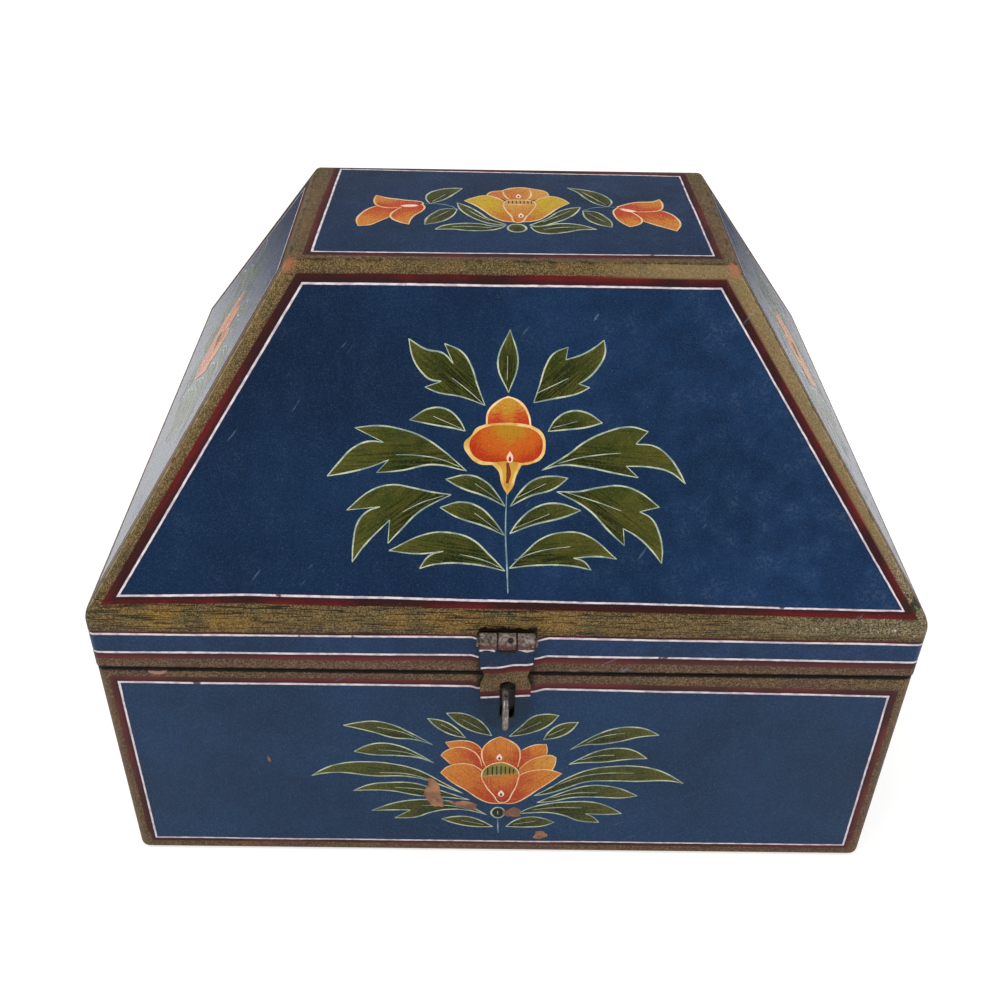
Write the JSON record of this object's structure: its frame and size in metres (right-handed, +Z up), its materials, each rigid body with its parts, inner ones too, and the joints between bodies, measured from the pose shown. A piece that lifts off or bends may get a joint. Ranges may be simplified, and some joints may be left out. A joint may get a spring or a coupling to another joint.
{
  "type": "hinged wooden box",
  "caption": "Painted wooden box with a hipped flat-topped lid on rear hinges, and an iron hasp that drops over a staple at the front.",
  "frame": {"origin": "centre of the underside, on the surface the box stands on, midway between the outer faces of the front and back boards", "axes": "+X to the right along the front, +Y from the front to the back, +Z up"},
  "size_m": [0.3, 0.2553, 0.2329],
  "materials": {
    "painted_wood": "glossy hand painting over primer, dark blue panels in bronze green borders",
    "bare_wood": "unpainted, planed, aged",
    "painted_iron": "dark iron sheet, painted over with the front's bands, rubbed bare at the knuckles",
    "iron": "dark forged iron, worn"
  },
  "bodies": {
    "base": {"base_front_board": "painted_wood", "base_back_board": "painted_wood", "base_left_board": "painted_wood", "base_right_board": "painted_wood", "bottom_board": "bare_wood", "base_corner_nails": "iron", "bottom_nails": "iron", "hinge_lower_leaf_left": "iron", "hinge_lower_leaf_right": "iron", "hinge_pin_left": "iron", "hinge_pin_right": "iron", "hinge_lower_nails": "iron", "hasp_staple": "iron"},
    "lid": {"lid_rail_front": "painted_wood", "lid_rail_back": "painted_wood", "lid_rail_left": "painted_wood", "lid_rail_right": "painted_wood", "lid_slope_front": "painted_wood", "lid_slope_back": "painted_wood", "lid_slope_left": "painted_wood", "lid_slope_right": "painted_wood", "lid_top_board": "painted_wood", "lid_rail_nails": "iron", "lid_top_nails": "iron", "lid_foot_nails": "iron", "hinge_upper_leaf_left": "iron", "hinge_upper_leaf_right": "iron", "hinge_upper_nails": "iron", "hasp_strap": "iron", "hasp_pin": "iron"},
    "hasp": {"hasp_plate": "painted_iron"}
  },
  "joints": [
    {"name": "lid_hinge", "type": "hinge", "parent": "base", "child": "lid", "pos_m": [0, 0.1208, 0.1042], "axis": [-1, 0, 0], "range_deg": [0, 110]},
    {"name": "hasp_swing", "type": "hinge", "parent": "lid", "child": "hasp", "pos_m": [0, -0.1208, 0.123], "axis": [-1, 0, 0], "range_deg": [0, 208]}
  ]
}
